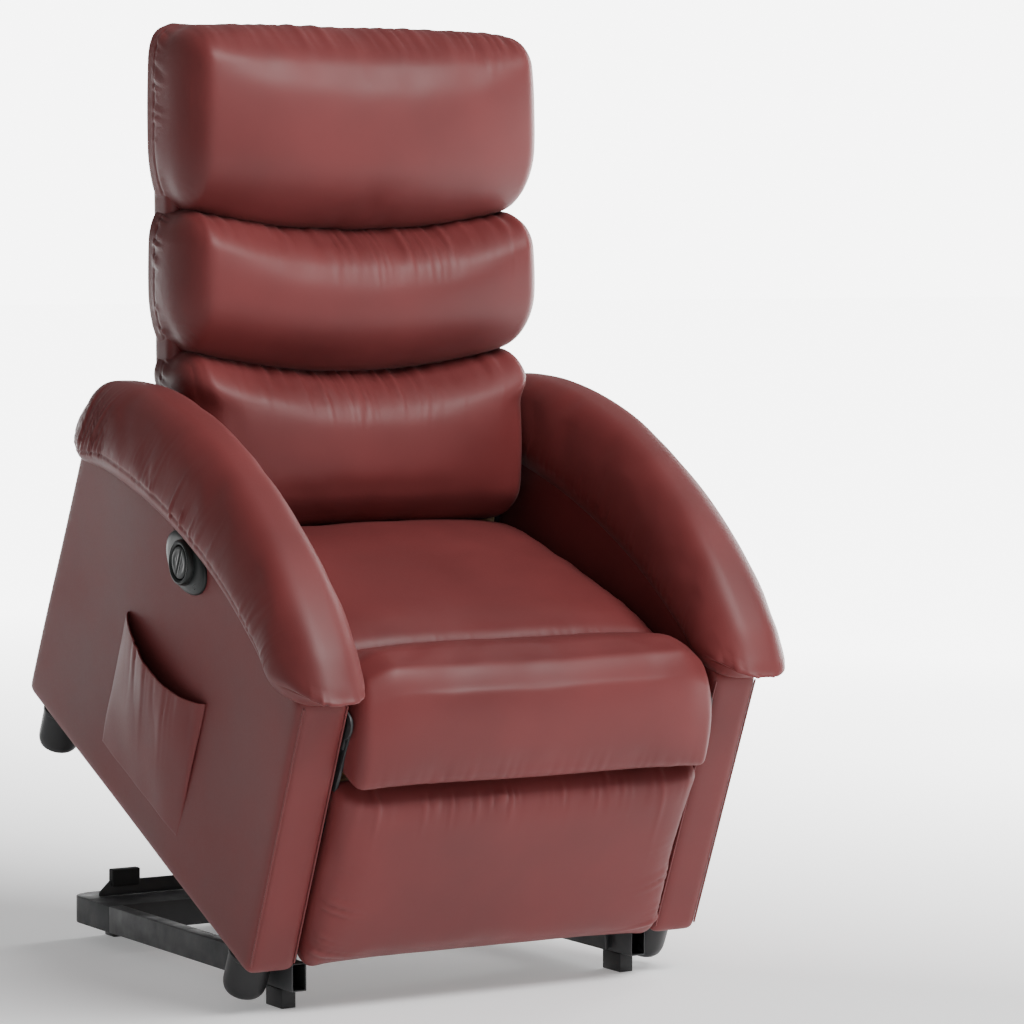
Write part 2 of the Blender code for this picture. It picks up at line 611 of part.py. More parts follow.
# ---- footrest -----------------------------------------------------------------------------------
def footrest(hinge):
    """Board and pad hanging from two arms. Positions are chair-frame values less the hinge's."""
    py, pz = FOOTREST_PIVOT
    board = box("footrest_board", hinge, WOOD, (-0.2660, 0.2660), (0.0325 - py, 0.0445 - py),
                (FOOTREST_BOTTOM + 0.006 - pz, FOOTREST_TOP - 0.004 - pz))
    round_edges(board, 0.002, 1)
    front = arc_through((-0.012 - py, FOOTREST_BOTTOM - pz), (-0.016 - py, 0.150 - pz),
                        (-0.010 - py, FOOTREST_TOP - pz), 6)
    outline = front + [(0.0322 - py, FOOTREST_TOP - pz), (0.0322 - py, FOOTREST_BOTTOM - pz)]
    pad = plate("footrest_pad", hinge, LEATHER, outline, (-SEAT_HALF, SEAT_HALF))
    round_edges(pad, 0.009, 2, 60)
    bar = link_outline((0, 0), (0.010, 0.150 - pz), 0.013)
    for label, side in SIDES:
        arm = side_plate(f"footrest_arm_{label}", hinge, STEEL, side, bar, FOOTREST_ARM_X)
        tab = side_box(f"cutter_tab_{label}", hinge, None, side, (0.2300, FOOTREST_ARM_X[0] + 0.0010),
                       (0.0450 - py, 0.0490 - py), (0.142 - pz, 0.200 - pz))
        pin = cross_rod(f"cutter_foot_pin_{label}", hinge, None, (0, 0), (side * (FOOTREST_ARM_X[0] + 0.0010), side * (FOOTREST_BRACKET_X[1] - 0.0005)), PIN_RADIUS)
        weld(arm, tab)
        weld(arm, pin)


def footrest_brackets(chair):
    y, z = FOOTREST_PIVOT
    outline = arc((y, z), 0.019, -60, 240, 10) + [(y - 0.0095, z - 0.032), (y + 0.0095, z - 0.032)]
    for label, side in SIDES:
        bracket = side_plate(f"footrest_bracket_{label}", chair, STEEL, side, outline, FOOTREST_BRACKET_X)
        hole(bracket, chair, side, FOOTREST_PIVOT, PIN_RADIUS + RUNNING_GAP, FOOTREST_BRACKET_X)


# ---- backrest -----------------------------------------------------------------------------------
def back_brackets(chair):
    """Plates on the side panels that the backrest turns in."""
    y, z = RECLINE_PIVOT
    outline = arc((y, z), 0.022, -30, 210, 10) + [(y - 0.030, z - 0.060), (y + 0.030, z - 0.060)]
    for label, side in SIDES:
        bracket = side_plate(f"back_bracket_{label}", chair, STEEL, side, outline, (0.2710, 0.2770))
        hole(bracket, chair, side, RECLINE_PIVOT, PIN_RADIUS + RUNNING_GAP, (0.2710, 0.2770))


def back_frame(back):
    """Board with two steel lugs that carry the hinge pins."""
    board = box("back_frame", back, WOOD, (-0.255, 0.255), (-0.0215, -0.0070), (-0.030, 0.650))
    for label, side in SIDES:
        lug = side_plate(f"cutter_lug_{label}", back, None, side,
                         [(-0.018, -0.016), (0.010, -0.016), (0.014, 0.0), (0.010, 0.016), (-0.018, 0.016)],
                         (0.2500, 0.2690))
        pin = cross_rod(f"cutter_hinge_pin_{label}", back, None, (0, 0), (side * 0.2660, side * 0.2760), PIN_RADIUS)
        weld(board, lug)
        weld(board, pin)


def back_cover(back):
    """Thin padded cover over the rear of the frame."""
    cover = box("back_cover", back, LEATHER, (-0.262, 0.262), (-0.0070 + GAP, 0.0160), (0.022, 0.662))
    round_edges(cover, 0.008, 2)


def pillow(name, back, outline, half_width):
    cushion = plate(name, back, LEATHER, outline, (-half_width, half_width))
    return round_edges(cushion, 0.016, 2, 50)


def back_pillows(back):
    """Three stacked pillows. Each bulges forward and tucks in where it meets the next."""
    rear = -0.0218
    lower = [(rear, 0.014), (rear, 0.216), (-0.112, 0.216)]
    lower += arc_through((-0.134, 0.190), (-0.142, 0.110), (-0.126, -0.004), 4)
    pillow("lower_pillow", back, lower, 0.2550)
    middle = [(rear, 0.2230), (rear, 0.4250), (-0.100, 0.4270)]
    middle += arc_through((-0.132, 0.404), (-0.150, 0.310), (-0.118, 0.2280), 5)
    pillow("middle_pillow", back, middle, BACK_HALF)
    head = [(rear, 0.4310), (rear, 0.6780), (-0.060, 0.6900)]
    head += arc_through((-0.110, 0.665), (-0.152, 0.550), (-0.112, 0.4350), 6)
    pillow("head_pillow", back, head, BACK_HALF)


# ---- assembly -----------------------------------------------------------------------------------
def main():
    clear_scene()
    base = empty("base_frame", None, (0, ORIGIN_SHIFT_Y, 0))
    chair = empty("chair_frame", base, (0, 0, RAISED_Z), LIFT_TILT)
    front_axis = empty("front_link_axis", base, (0, *FRONT_PIVOT))
    rear_axis = empty("rear_link_axis", base, (0, *REAR_PIVOT))

    base_rails(base)
    base_rear_beam(base)
    base_cross_tube(base)
    base_uprights(base)
    base_feet(base)
    base_riser(base)

    front_links(front_axis)
    rear_links(rear_axis)
    torque_tube(rear_axis)

    crank_tip = Vector(REAR_PIVOT) + CRANK_RADIUS * Vector((math.cos(CRANK_ANGLE), math.sin(CRANK_ANGLE)))
    stroke_line = crank_tip - Vector(MOTOR_PIVOT)
    slope = math.atan2(stroke_line.y, stroke_line.x)
    actuator_axis = empty("actuator_axis", base, (0, *MOTOR_PIVOT), slope)
    lift_actuator(actuator_axis, stroke_line.length)
    actuator_rod(actuator_axis, stroke_line.length)

    chassis_rails(chair)
    chassis_crossbar(chair)
    seat_rails(chair)
    seat_springs(chair)
    side_panels(chair)
    arm_pads(chair)
    seat(chair)
    rear_panel(chair)
    feet(chair)
    storage_pocket(chair)
    footrest_brackets(chair)
    back_brackets(chair)

    switch_bezel(chair)
    switch = empty("switch_axis", chair, (0, *SWITCH_CENTRE))
    switch_button("button_up", switch, 1)
    switch_button("button_down", switch, -1)

    footrest(empty("footrest_axis", chair, (0, *FOOTREST_PIVOT)))

    back = empty("recline_axis", chair, (0, *RECLINE_PIVOT), -LIFT_TILT)
    back_frame(back)
    back_cover(back)
    back_pillows(back)
    bpy.context.view_layer.update()


main()
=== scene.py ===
"""Looks of the lift recliner chair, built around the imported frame.

World metres, +Z up, the sitter faces -Y. Two more frames are used, as in the design:
chair  y back and z up from the side panels' front bottom edge, turned forwards about X while raised
back   y and z from the recline axis, upright while the chair is raised
"""

import json
import math

import bmesh
import bpy
import numpy as np
from mathutils import Matrix, Vector


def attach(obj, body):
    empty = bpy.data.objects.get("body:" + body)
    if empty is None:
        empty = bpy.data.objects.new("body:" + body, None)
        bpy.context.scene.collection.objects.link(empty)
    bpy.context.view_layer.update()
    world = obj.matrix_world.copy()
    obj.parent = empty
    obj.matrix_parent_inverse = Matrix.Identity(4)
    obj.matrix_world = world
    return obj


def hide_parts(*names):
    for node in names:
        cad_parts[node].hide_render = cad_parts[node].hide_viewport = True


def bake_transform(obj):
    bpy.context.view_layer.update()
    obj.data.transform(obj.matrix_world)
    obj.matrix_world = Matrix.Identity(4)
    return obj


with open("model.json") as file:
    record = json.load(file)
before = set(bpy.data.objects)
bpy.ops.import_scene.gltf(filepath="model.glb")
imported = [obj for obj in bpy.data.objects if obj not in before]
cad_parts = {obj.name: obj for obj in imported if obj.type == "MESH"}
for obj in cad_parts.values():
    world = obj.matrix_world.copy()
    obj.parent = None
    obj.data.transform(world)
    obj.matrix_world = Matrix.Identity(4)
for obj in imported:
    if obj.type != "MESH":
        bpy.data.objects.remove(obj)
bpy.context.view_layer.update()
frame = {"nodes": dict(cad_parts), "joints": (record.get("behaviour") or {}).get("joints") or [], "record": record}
nodes = frame["nodes"]
joints = {joint["name"]: joint for joint in frame["joints"]}

# ---- where the frames are -----------------------------------------------------------------------
FOOTREST_AT = (0.025, 0.364)      # both hinges, in the chair frame
RECLINE_AT = (0.620, 0.330)
foot_pivot = Vector(joints["footrest_swing"]["pos_m"])
back_pivot = Vector(joints["recline"]["pos_m"])
span = back_pivot - foot_pivot
TILT = math.atan2(span.z, span.y) - math.atan2(RECLINE_AT[1] - FOOTREST_AT[1], RECLINE_AT[0] - FOOTREST_AT[0])
ORIGIN_Y = back_pivot.y - (RECLINE_AT[0] * math.cos(TILT) - RECLINE_AT[1] * math.sin(TILT))
ORIGIN_Z = back_pivot.z - (RECLINE_AT[0] * math.sin(TILT) + RECLINE_AT[1] * math.cos(TILT))
CHAIR = Matrix.Translation((0, ORIGIN_Y, ORIGIN_Z)) @ Matrix.Rotation(TILT, 4, "X")
BACK = Matrix.Translation(back_pivot)

PANEL_X = (0.2780, 0.3500)        # inner and outer face
PANEL_DEPTH = 0.748
PANEL_HEIGHT = 0.402
PANEL_LEAN = 0.016
PANEL_CROWN = 0.0605
PAD_X = (0.2620, 0.3850)
SEAT_HALF = 0.2680
PAD_HALF = 0.2760                 # the footrest pad covers its two arms
BACK_HALF = 0.2745
SIDES = (("left", 1), ("right", -1))

# ---- cloth simulation and studio ----------------------------------------------------------------
SIM_FRAMES = 18
PRESSURE = 3.0                    # pushes the cover outwards
SLACK = 0.012                     # how much larger than its block the cover is cut
TRAVEL_CAP = 0.008                # no point of a cushion ends up further from its start
CALM_ROUNDS = 10                  # passes that even the travel out between neighbouring points
CALM_SHARE = 0.65
TO_BACKDROP = (0.85, 0.52, 0.0)   # level direction in which the surroundings are bright
BACKDROP_STRENGTH = 7.0
AMBIENT_STRENGTH = 0.22
FLOOR_SIZE = 60.0
FLOOR_DROP = 0.0005               # the floor lies just under what stands on it


# ---- number tools -------------------------------------------------------------------------------
def ripple(t, seed, low, high, count=9):
    """Smooth noise along t, within about -1 to 1, made of waves between two frequencies in cycles per metre."""
    rng = np.random.RandomState(seed)
    total = np.zeros_like(t)
    for frequency, phase in zip(rng.uniform(low, high, count), rng.uniform(0, math.tau, count)):
        total += np.sin(math.tau * frequency * t + phase)
    return total / math.sqrt(count * 1.2)


def swell(a, b, seed, low, high):
    """Smooth noise over two directions."""
    rng = np.random.RandomState(seed)
    total = np.zeros_like(a)
    count = 12
    for frequency, turn, phase in zip(rng.uniform(low, high, count), rng.uniform(0, math.pi, count),
                                      rng.uniform(0, math.tau, count)):
        total += np.sin(math.tau * frequency * (a * math.cos(turn) + b * math.sin(turn)) + phase)
    return total / math.sqrt(count * 1.2)


def bump(t, centre, width):
    return np.exp(-((t - centre) / width) ** 2)


def step_up(t, start, end):
    u = np.clip((t - start) / (end - start), 0, 1)
    return u * u * (3 - 2 * u)


def gathers(along, away, pitch, reach, seed, lean=0.0):
    """Puffed folds side by side with sharp valleys, each of its own height and length, fading with away."""
    rng = np.random.RandomState(seed)
    heights = rng.uniform(0.15, 1.0, 512) ** 1.4
    lengths = rng.uniform(0.35, 1.0, 512)
    phase = (along + lean * away) / pitch + 0.55 * ripple(along, seed + 1, 0.08 / pitch, 0.40 / pitch)
    index = np.floor(phase).astype(int) % 512
    fold = np.abs(np.sin(math.pi * phase)) ** 0.62
    length = reach * lengths[index]
    fade = np.where(away > 0, np.exp(-(np.abs(away) / length) ** 1.8), np.exp(-(away / 0.006) ** 2))
    return 1.6 * heights[index] * (fold - 0.25) * fade


def circle_through(a, b, c):
    """A function giving z for y on the circle through three points, for an arch."""
    ax, ay, bx, by, cx, cy = *a, *b, *c
    d = 2 * (ax * (by - cy) + bx * (cy - ay) + cx * (ay - by))
    sa, sb, sc = ax * ax + ay * ay, bx * bx + by * by, cx * cx + cy * cy
    middle_y = (sa * (by - cy) + sb * (cy - ay) + sc * (ay - by)) / d
    middle_z = (sa * (cx - bx) + sb * (ax - cx) + sc * (bx - ax)) / d
    radius = math.hypot(ax - middle_y, ay - middle_z)
    return lambda y: middle_z + np.sqrt(np.maximum(radius**2 - (y - middle_y) ** 2, 0))


panel_top = circle_through((PANEL_LEAN, PANEL_HEIGHT), (PANEL_DEPTH / 2, PANEL_HEIGHT + PANEL_CROWN),
                           (PANEL_DEPTH - PANEL_LEAN, PANEL_HEIGHT))
pad_top = circle_through((-0.026, 0.450), (0.400, 0.580), (0.738, 0.500))


# ---- mesh tools ---------------------------------------------------------------------------------
def add_object(name, mesh, finish, smooth=True):
    obj = bpy.data.objects.new(name, mesh)
    bpy.context.scene.collection.objects.link(obj)
    mesh.materials.append(finish)
    mesh.polygons.foreach_set("use_smooth", np.full(len(mesh.polygons), smooth))
    return obj


def place(obj, where):
    """Moves a mesh from a local frame to the world."""
    obj.data.transform(where)
    obj.data.update()
    return obj


def rounded_block(name, finish, low, high, radius_low, radius_high, step):
    """A box of even quads with elliptical edges. Each axis has its own radius at its low and its high end."""
    low, high = np.array(low, float), np.array(high, float)
    radius_low, radius_high = np.array(radius_low, float), np.array(radius_high, float)
    counts = np.maximum(np.rint((high - low) / step).astype(int), 2)
    index = {}
    lattice = []

    def vertex(key):
        if key not in index:
            index[key] = len(lattice)
            lattice.append(key)
        return index[key]

    faces = []
    for axis in range(3):
        u, v = (axis + 1) % 3, (axis + 2) % 3
        for end in (0, counts[axis]):
            for i in range(counts[u]):
                for j in range(counts[v]):
                    quad = []
                    for di, dj in ((0, 0), (1, 0), (1, 1), (0, 1)):
                        key = [0, 0, 0]
                        key[axis], key[u], key[v] = int(end), i + di, j + dj
                        quad.append(vertex(tuple(key)))
                    faces.append(quad if end else quad[::-1])
    points = low + (high - low) * np.array(lattice, float) / counts
    inner = np.clip(points, low + radius_low, high - radius_high)
    offset = points - inner
    scaled = offset / np.where(offset < 0, radius_low, radius_high)
    length = np.linalg.norm(scaled, axis=1)
    length[length == 0] = 1
    points = inner + offset / length[:, None]
    mesh = bpy.data.meshes.new(name)
    mesh.from_pydata(points.tolist(), [], faces)
    mesh.update()
    return add_object(name, mesh, finish), points


def read_points(obj):
    points = np.empty(len(obj.data.vertices) * 3)
    obj.data.vertices.foreach_get("co", points)
    return points.reshape(-1, 3)


def write_points(obj, points):
    obj.data.vertices.foreach_set("co", np.asarray(points, float).ravel())
    obj.data.update()


def keep_rest(obj, points):
    """Stores each vertex's place in the unworked shape, which folds and seams are laid out on."""
    attribute = obj.data.attributes.new("rest", "FLOAT_VECTOR", "POINT")
    attribute.data.foreach_set("vector", np.asarray(points, np.float32).ravel())


def rest_points(obj):
    values = np.empty(len(obj.data.vertices) * 3, np.float32)
    obj.data.attributes["rest"].data.foreach_get("vector", values)
    return values.reshape(-1, 3).astype(float)


def apply_modifiers(obj):
    """Replaces the mesh with its evaluated one."""
    graph = bpy.context.evaluated_depsgraph_get()
    mesh = bpy.data.meshes.new_from_object(obj.evaluated_get(graph), preserve_all_data_layers=True,
                                           depsgraph=graph)
    obj.modifiers.clear()
    old = obj.data
    obj.data = mesh
    bpy.data.meshes.remove(old)
    obj.data.name = obj.name
    return obj


def subdivide(obj, levels=1):
    step = obj.modifiers.new("Subdivide", "SUBSURF")
    step.levels = levels
    step.render_levels = levels
    return apply_modifiers(obj)


def raise_surface(obj, amount):
    """Moves every vertex along its normal."""
    normals = np.empty(len(obj.data.vertices) * 3)
    obj.data.vertex_normals.foreach_get("vector", normals)
    write_points(obj, read_points(obj) + normals.reshape(-1, 3) * np.asarray(amount)[:, None])


def inflate(obj, held, pressure, slack, most):
    """Cloth simulation: the cover, cut a little large, is blown up against its held seams.

    The result is kept in the mesh, with its travel capped and evened out, so that no sharp dents are left.
    """
    start = read_points(obj)
    group = obj.vertex_groups.new(name="held")
    group.add([int(i) for i in np.flatnonzero(held)], 1.0, "REPLACE")
    cloth = obj.modifiers.new("Cloth", "CLOTH")
    cloth.point_cache.frame_start = 1
    cloth.point_cache.frame_end = SIM_FRAMES
    settings = cloth.settings
    settings.quality = 4
    settings.mass = 0.35
    settings.tension_stiffness = 22
    settings.compression_stiffness = 22
    settings.shear_stiffness = 8
    settings.bending_stiffness = 1.5
    settings.use_pressure = True
    settings.uniform_pressure_force = pressure
    settings.shrink_min = -slack
    settings.vertex_group_mass = "held"
    settings.effector_weights.gravity = 0
    cloth.collision_settings.use_collision = False
    for number in range(1, SIM_FRAMES + 1):
        bpy.context.scene.frame_set(number)
    graph = bpy.context.evaluated_depsgraph_get()
    blown = np.empty(len(start) * 3)
    obj.evaluated_get(graph).data.vertices.foreach_get("co", blown)
    travel = blown.reshape(-1, 3) - start
    length = np.linalg.norm(travel, axis=1)
    limited = most * np.tanh(length / most)
    travel *= (limited / np.maximum(length, 1e-9))[:, None]
    ends = np.array([edge.vertices[:] for edge in obj.data.edges])
    degree = np.bincount(ends.ravel(), minlength=len(start))[:, None]
    for _ in range(CALM_ROUNDS):
        total = np.zeros_like(travel)
        np.add.at(total, ends[:, 0], travel[ends[:, 1]])
        np.add.at(total, ends[:, 1], travel[ends[:, 0]])
        travel = (1 - CALM_SHARE) * travel + CALM_SHARE * total / degree
    obj.modifiers.clear()
    obj.vertex_groups.clear()
    bpy.context.scene.frame_set(1)
    write_points(obj, start + travel)


def soft_block(name, finish, low, high, radius_low, radius_high, shape, work, step=0.0065, held=None,
               pressure=PRESSURE, slack=SLACK, most=TRAVEL_CAP):
    """A padded piece: an even block, bent into shape, inflated, made finer, then given seams and folds."""
    obj, points = rounded_block(name, finish, low, high, radius_low, radius_high, step)
    keep_rest(obj, points)
    write_points(obj, shape(points))
    if held is not None:
        inflate(obj, held(points), pressure, slack, most)
    subdivide(obj)
    raise_surface(obj, work(rest_points(obj)))
    obj.data.attributes.remove(obj.data.attributes["rest"])
    return obj


def tube(name, finish, points, radius, closed=False, sides=8):
    """A round cord along a list of points, as a mesh."""
    curve = bpy.data.curves.new(name, "CURVE")
    curve.dimensions = "3D"
    curve.bevel_depth = radius
    curve.bevel_resolution = max(0, sides // 4 - 1) + 1
    curve.use_fill_caps = True
    spline = curve.splines.new("POLY")
    spline.points.add(len(points) - 1)
    for target, point in zip(spline.points, points):
        target.co = (*point, 1)
    spline.use_cyclic_u = closed
    holder = bpy.data.objects.new(name, curve)
    bpy.context.scene.collection.objects.link(holder)
    graph = bpy.context.evaluated_depsgraph_get()
    mesh = bpy.data.meshes.new_from_object(holder.evaluated_get(graph))
    bpy.data.objects.remove(holder)
    bpy.data.curves.remove(curve)
    mesh.materials.clear()
    return add_object(name, mesh, finish)


# ---- materials ----------------------------------------------------------------------------------
def shader_material(name, colour, roughness, metallic=0.0):
    mat = bpy.data.materials.new(name)
    mat.use_nodes = True
    shader = mat.node_tree.nodes["Principled BSDF"]
    shader.inputs["Base Color"].default_value = (*colour, 1)
    shader.inputs["Roughness"].default_value = roughness
    shader.inputs["Metallic"].default_value = metallic
    return mat, mat.node_tree, shader


def noise(tree, scale, detail=2.0, vector=None, rough=0.5):
    node = tree.nodes.new("ShaderNodeTexNoise")
    node.inputs["Scale"].default_value = scale
    node.inputs["Detail"].default_value = detail
    node.inputs["Roughness"].default_value = rough
    if vector:
        tree.links.new(vector, node.inputs["Vector"])
    return node.outputs["Fac"]


def spread(tree, value, low, high, start=0.0, end=1.0):
    """Maps a value from start..end to low..high."""
    node = tree.nodes.new("ShaderNodeMapRange")
    tree.links.new(value, node.inputs["Value"])
    for socket, number in (("From Min", start), ("From Max", end), ("To Min", low), ("To Max", high)):
        node.inputs[socket].default_value = number
    return node.outputs["Result"]


def maths(tree, operation, a, b):
    node = tree.nodes.new("ShaderNodeMath")
    node.operation = operation
    for socket, value in zip(node.inputs, (a, b)):
        if isinstance(value, (int, float)):
            socket.default_value = value
        else:
            tree.links.new(value, socket)
    return node.outputs[0]


def object_coordinates(tree):
    return tree.nodes.new("ShaderNodeTexCoord").outputs["Object"]


def mix_colour(tree, factor, a, b):
    node = tree.nodes.new("ShaderNodeMix")
    node.data_type = "RGBA"
    tree.links.new(factor, node.inputs["Factor"])
    for name, value in (("A", a), ("B", b)):
        socket = [s for s in node.inputs if s.name == name and s.type == "RGBA"][0]
        if isinstance(value, tuple):
            socket.default_value = (*value, 1)
        else:
            tree.links.new(value, socket)
    return [s for s in node.outputs if s.type == "RGBA"][0]


def height_bump(tree, shader, height, strength, distance, under=None):
    node = tree.nodes.new("ShaderNodeBump")
    node.inputs["Strength"].default_value = strength
    node.inputs["Distance"].default_value = distance
    tree.links.new(height, node.inputs["Height"])
    if under:
        tree.links.new(under, node.inputs["Normal"])
    tree.links.new(node.outputs["Normal"], shader.inputs["Normal"])
    return node.outputs["Normal"]


def leather(name, colour, roughness=0.52, grain=0.14):
    """Smooth coated leather: pebbled grain, slow colour change, lighter worn ridges, and painted shade that
    darkens the creases.
    """
    mat, tree, shader = shader_material(name, colour, roughness)
    where = object_coordinates(tree)
    slow = noise(tree, 5.0, 3.0, where)
    fine = noise(tree, 220.0, 3.0, where)
    dark = tuple(c * 0.84 for c in colour)
    light = tuple(min(1, c * 1.14) for c in colour)
    base = mix_colour(tree, spread(tree, slow, 0.0, 1.0, 0.32, 0.68), dark, light)
    ridge = tree.nodes.new("ShaderNodeNewGeometry").outputs["Pointiness"]
    worn = mix_colour(tree, spread(tree, ridge, 0.0, 0.50, 0.505, 0.56), base,
                      tuple(min(1, c * 1.45 + 0.01) for c in colour))
    # Painted shade: the colour darkens to under half of itself in creases and fold valleys, where shade falls.
    painted_crease_shade = mix_colour(tree, spread(tree, ridge, 0.65, 0.0, 0.44, 0.495), worn,
                         tuple(c * 0.45 for c in colour))
    tree.links.new(painted_crease_shade, shader.inputs["Base Color"])
    rough = maths(tree, "ADD", spread(tree, slow, roughness - 0.05, roughness + 0.05, 0.3, 0.7),
                  spread(tree, fine, -0.03, 0.03))
    tree.links.new(rough, shader.inputs["Roughness"])
    cells = tree.nodes.new("ShaderNodeTexVoronoi")
    cells.feature = "DISTANCE_TO_EDGE"
    cells.inputs["Scale"].default_value = 620.0
    tree.links.new(where, cells.inputs["Vector"])
    pebbles = spread(tree, cells.outputs["Distance"], 0.0, 1.0, 0.0, 0.35)
    normal = height_bump(tree, shader, pebbles, grain, 0.0003)
    pores = noise(tree, 1500.0, 2.0, where)
    normal = height_bump(tree, shader, pores, grain * 0.7, 0.0002, normal)
    height_bump(tree, shader, noise(tree, 26.0, 2.0, where), 0.12, 0.0016, normal)
    shader.inputs["Specular IOR Level"].default_value = 0.34
    shader.inputs["Sheen Weight"].default_value = 0.05
    shader.inputs["Sheen Roughness"].default_value = 0.45
    shader.inputs["Sheen Tint"].default_value = (1.0, 0.86, 0.84, 1)
    shader.inputs["Coat Weight"].default_value = 0.04
    shader.inputs["Coat Roughness"].default_value = 0.32
    return mat


def coated_steel(name, colour):
    """Powder coat: fine orange peel, and edges rubbed lighter."""
    mat, tree, shader = shader_material(name, colour, 0.48)
    where = object_coordinates(tree)
    ridge = tree.nodes.new("ShaderNodeNewGeometry").outputs["Pointiness"]
    patches = noise(tree, 38.0, 4.0, where)
    base = mix_colour(tree, patches, tuple(c * 0.8 for c in colour), tuple(c * 1.35 for c in colour))
    worn = mix_colour(tree, spread(tree, ridge, 0.0, 0.55, 0.52, 0.60), base,
                      tuple(c * 3.2 + 0.02 for c in colour))
    tree.links.new(worn, shader.inputs["Base Color"])
    tree.links.new(spread(tree, patches, 0.38, 0.58, 0.3, 0.7), shader.inputs["Roughness"])
    height_bump(tree, shader, noise(tree, 900.0, 2.0, where), 0.22, 0.0004)
    return mat


def zinc_steel(name):
    mat, tree, shader = shader_material(name, (0.42, 0.42, 0.43), 0.36, 1.0)
    where = object_coordinates(tree)
    patches = noise(tree, 60.0, 4.0, where)
    base = mix_colour(tree, patches, (0.30, 0.30, 0.31), (0.52, 0.52, 0.53))
    tree.links.new(base, shader.inputs["Base Color"])
    tree.links.new(spread(tree, noise(tree, 240.0, 3.0, where), 0.28, 0.50), shader.inputs["Roughness"])
    height_bump(tree, shader, noise(tree, 700.0, 2.0, where), 0.10, 0.0003)
    return mat


def moulded_plastic(name, colour, roughness, texture=900.0, strength=0.18):
    mat, tree, shader = shader_material(name, colour, roughness)
    where = object_coordinates(tree)
    patches = noise(tree, 30.0, 3.0, where)
    base = mix_colour(tree, patches, tuple(c * 0.8 for c in colour), tuple(c * 1.3 + 0.002 for c in colour))
    tree.links.new(base, shader.inputs["Base Color"])
    tree.links.new(spread(tree, patches, roughness - 0.06, roughness + 0.06, 0.3, 0.7),
                   shader.inputs["Roughness"])
    height_bump(tree, shader, noise(tree, texture, 2.0, where), strength, 0.0003)
    shader.inputs["Specular IOR Level"].default_value = 0.32
    return mat


def plywood(name):
    mat, tree, shader = shader_material(name, (0.50, 0.36, 0.21), 0.62)
    where = object_coordinates(tree)
    stretch = tree.nodes.new("ShaderNodeMapping")
    stretch.inputs["Scale"].default_value = (1.0, 9.0, 9.0)
    tree.links.new(where, stretch.inputs["Vector"])
    grain = noise(tree, 14.0, 5.0, stretch.outputs["Vector"], 0.65)
    base = mix_colour(tree, spread(tree, grain, 0, 1, 0.35, 0.65), (0.36, 0.23, 0.12), (0.60, 0.45, 0.28))
    tree.links.new(base, shader.inputs["Base Color"])
    height_bump(tree, shader, grain, 0.25, 0.0008)
    return mat


LEATHER_COLOUR = (0.132, 0.0215, 0.0215)
LEATHER = leather("wine leather", LEATHER_COLOUR)
PIPING = leather("piping leather", tuple(c * 0.92 for c in LEATHER_COLOUR), 0.36, 0.08)
STEEL = coated_steel("black powder coat", (0.015, 0.016, 0.017))
ZINC = zinc_steel("zinc plate")
PLASTIC = moulded_plastic("black plastic", (0.018, 0.018, 0.019), 0.42)
SWITCH_PLASTIC = moulded_plastic("switch plastic", (0.012, 0.0145, 0.0140), 0.32, 1200.0, 0.08)
RUBBER = moulded_plastic("stop rubber", (0.014, 0.014, 0.014), 0.70, 500.0, 0.3)
WOOD = plywood("birch plywood")
SLOT_FINISH = {"leather": LEATHER, "black_steel": STEEL, "zinc_steel": ZINC, "black_plastic": PLASTIC,
               "rubber": RUBBER, "plywood": WOOD}


# ---- pieces of the carriage ---------------------------------------------------------------------
def fit_piece(obj, body, node):
    """Rides a piece on its body and lets it stand for a CAD node."""
    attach(obj, body)
    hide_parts(node)
    return obj


def mirrored(points, side):
    points = points.copy()
    points[:, 0] *= side
    return points


def flip_if(obj, side):
    if side < 0:
        obj.data.flip_normals()
    return obj


def side_panel(label, side):
    """Upholstered side: soft edges, an arched top, and a faint swell in the leather."""
    height = PANEL_HEIGHT

    def shape(p):
        q = p.copy()
        t = p[:, 2] / height
        inset = PANEL_LEAN * t
        q[:, 1] = inset + p[:, 1] * (PANEL_DEPTH - 2 * inset) / PANEL_DEPTH
        q[:, 2] = t * panel_top(q[:, 1])
        return q

    def work(p):
        outside = step_up(p[:, 0], PANEL_X[1] - 0.004, PANEL_X[1])
        calm = 0.0011 * swell(p[:, 1], p[:, 2], 11 + side, 1.0, 3.5)
        crown = 0.0016 * np.sin(math.pi * np.clip(p[:, 1] / PANEL_DEPTH, 0, 1)) * outside
        return calm * outside + crown

    obj = soft_block(f"side_panel_{label}_cover", LEATHER, (PANEL_X[0], 0, 0),
                     (PANEL_X[1], PANEL_DEPTH, height), (0.009, 0.016, 0.014), (0.010, 0.014, 0.004),
                     shape, work, 0.011)
    write_points(obj, mirrored(read_points(obj), side))
    flip_if(obj, side)
    place(obj, CHAIR)
    return fit_piece(obj, "carriage", f"side_panel_{label}")


def panel_piping(label, side, x, number):
    """A thin welt down one front edge of a side panel."""
    points = []
    for i in range(41):
        t = i / 40
        z = 0.016 + t * (panel_top(np.array([PANEL_LEAN]))[0] - 0.022)
        y = PANEL_LEAN * z / PANEL_HEIGHT + 0.0024
        points.append((side * x, y, z))
    obj = place(tube(f"side_panel_{label}_welt_{number}", PIPING, points, 0.0013), CHAIR)
    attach(obj, "carriage")
    return obj


